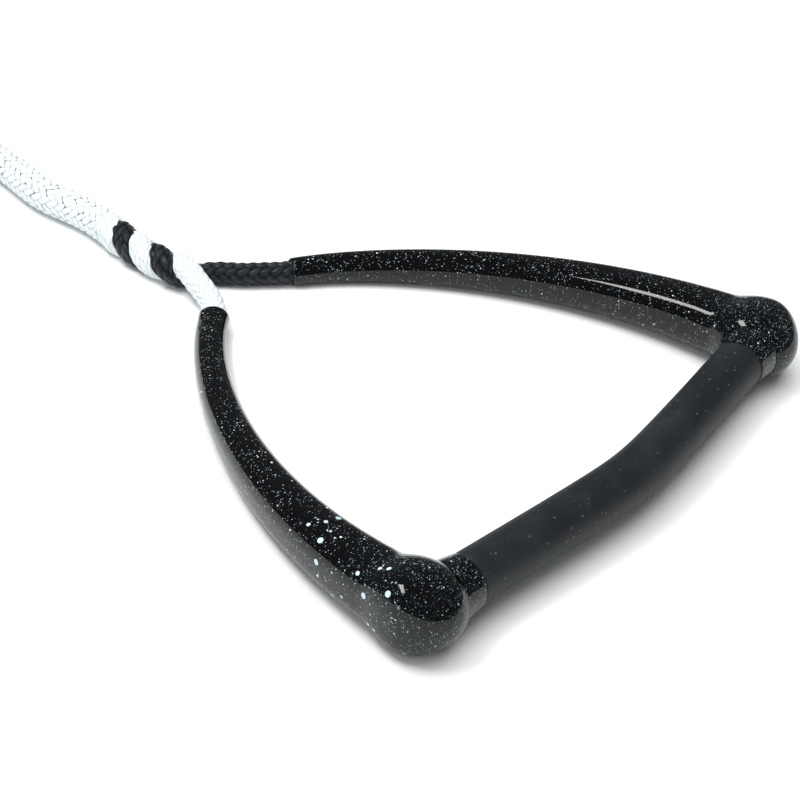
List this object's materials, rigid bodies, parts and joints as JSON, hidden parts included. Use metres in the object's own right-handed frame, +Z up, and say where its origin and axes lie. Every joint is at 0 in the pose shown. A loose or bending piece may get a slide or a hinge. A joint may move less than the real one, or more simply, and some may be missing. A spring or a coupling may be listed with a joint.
{
  "type": "tow rope handle",
  "caption": "Triangular tow rope handle: bent rubber-covered bar, two tapering speckled arms, white and black bridle legs twisted into one braided tow line with an end loop.",
  "frame": {"origin": "centre of the handle's footprint (bar, arms and all that they hold, without the tow line), on the surface it lies on", "axes": "+X along the bar towards the black leg's arm, +Y from the bar towards the tow line, +Z up from the surface"},
  "size_m": [0.345, 0.6516, 0.0422],
  "materials": {
    "bare_aluminium": "drawn tube, satin",
    "float_foam": "closed-cell foam",
    "grip_rubber": "matte moulded rubber with fine flecks",
    "speckled_gloss": "gloss black with pale splatter",
    "plug_rubber": "matte",
    "bush_nylon": "natural nylon",
    "white_rope": "hollow braid, slightly glossy",
    "black_rope": "hollow braid, slightly glossy",
    "tie_webbing": "hook-and-loop webbing",
    "whipping_twine": "waxed twine"
  },
  "bodies": {
    "handle": {"bar_tube": "bare_aluminium", "bar_foam_core": "float_foam", "grip_sleeve": "grip_rubber", "arm_left": "speckled_gloss", "arm_right": "speckled_gloss", "collar_left": "speckled_gloss", "collar_right": "speckled_gloss", "bar_plug_left": "plug_rubber", "bar_plug_right": "plug_rubber", "rope_bush_left": "bush_nylon", "rope_bush_right": "bush_nylon", "rope_eye_left": "white_rope", "rope_eye_right": "black_rope"},
    "tow_line": {"bridle_leg_white": "white_rope", "bridle_leg_black": "black_rope", "bridle_yoke": "white_rope", "line_splice": "white_rope", "line_lead": "white_rope", "line_coil": "white_rope", "coil_tie": "tie_webbing", "end_loop": "white_rope", "loop_whipping": "whipping_twine"}
  },
  "joints": [
    {"name": "bridle_fold", "type": "hinge", "parent": "handle", "child": "tow_line", "pos_m": [0, 0.13924, 0.00708], "axis": [1, 0, 0], "range_deg": [0, 90]}
  ]
}
